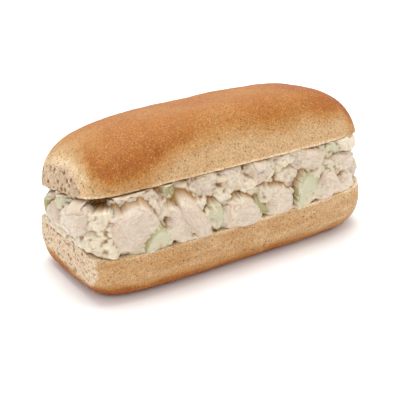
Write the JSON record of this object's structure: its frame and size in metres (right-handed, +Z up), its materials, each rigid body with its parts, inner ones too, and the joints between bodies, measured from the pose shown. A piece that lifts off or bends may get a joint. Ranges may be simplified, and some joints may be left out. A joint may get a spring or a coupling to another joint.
{
  "type": "chicken salad sub",
  "caption": "Wholemeal sub roll cut right through and filled with a thick layer of chicken and celery salad in mayonnaise; a ready-made cold sandwich.",
  "frame": {"origin": "under the middle of the sub's bounding box, on the table that the heel stands on", "axes": "+X along the roll, +Z up, -Y towards the side where the crown is raised and the salad is thickest"},
  "size_m": [0.1542, 0.0718, 0.0708],
  "materials": {
    "crumb_and_base_crust": "matte baked crumb",
    "salad": "moist and creamy",
    "top_crust": "satin baked crust"
  },
  "bodies": {
    "root": {"roll_heel": "crumb_and_base_crust", "chicken_salad": "salad", "roll_crown": "top_crust"}
  },
  "joints": []
}
